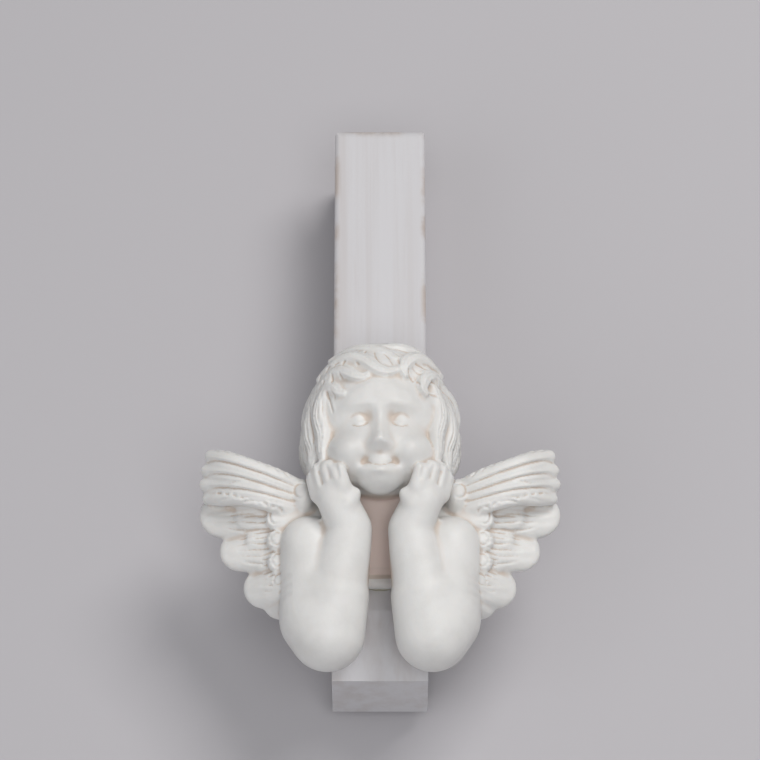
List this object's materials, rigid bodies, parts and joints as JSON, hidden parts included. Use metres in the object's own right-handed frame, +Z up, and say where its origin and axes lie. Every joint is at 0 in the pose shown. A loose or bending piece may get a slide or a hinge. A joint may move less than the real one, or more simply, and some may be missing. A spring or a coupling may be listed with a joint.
{
  "type": "clothespin doll",
  "caption": "Wooden spring clothes peg with a winged cherub bust, chin on both hands, glued on its upper lever.",
  "frame": {"origin": "below the middle of the whole doll, on the surface that the closed peg lies on", "axes": "+X across the peg, +Y along it to the handle end, +Z up out of the cherub's face"},
  "size_m": [0.042, 0.0734, 0.0313],
  "materials": {
    "painted_wood": "matte",
    "spring_steel": "satin",
    "cast_resin": "satin",
    "hot_glue": "satin"
  },
  "bodies": {
    "lower_lever": {"lower_lever": "painted_wood", "spring": "spring_steel"},
    "upper_lever": {"upper_lever": "painted_wood", "cherub_casting": "cast_resin", "head_glue": "hot_glue", "arm_glue": "hot_glue"}
  },
  "joints": [
    {"name": "jaw_opening", "type": "hinge", "parent": "lower_lever", "child": "upper_lever", "pos_m": [0, -0.00525, 0.0075], "axis": [-1, 0, 0], "range_deg": [0, 9.4], "stiffness_Nm_per_rad": 0.34, "springref_deg": -34.38, "deforming": ["spring"]}
  ]
}
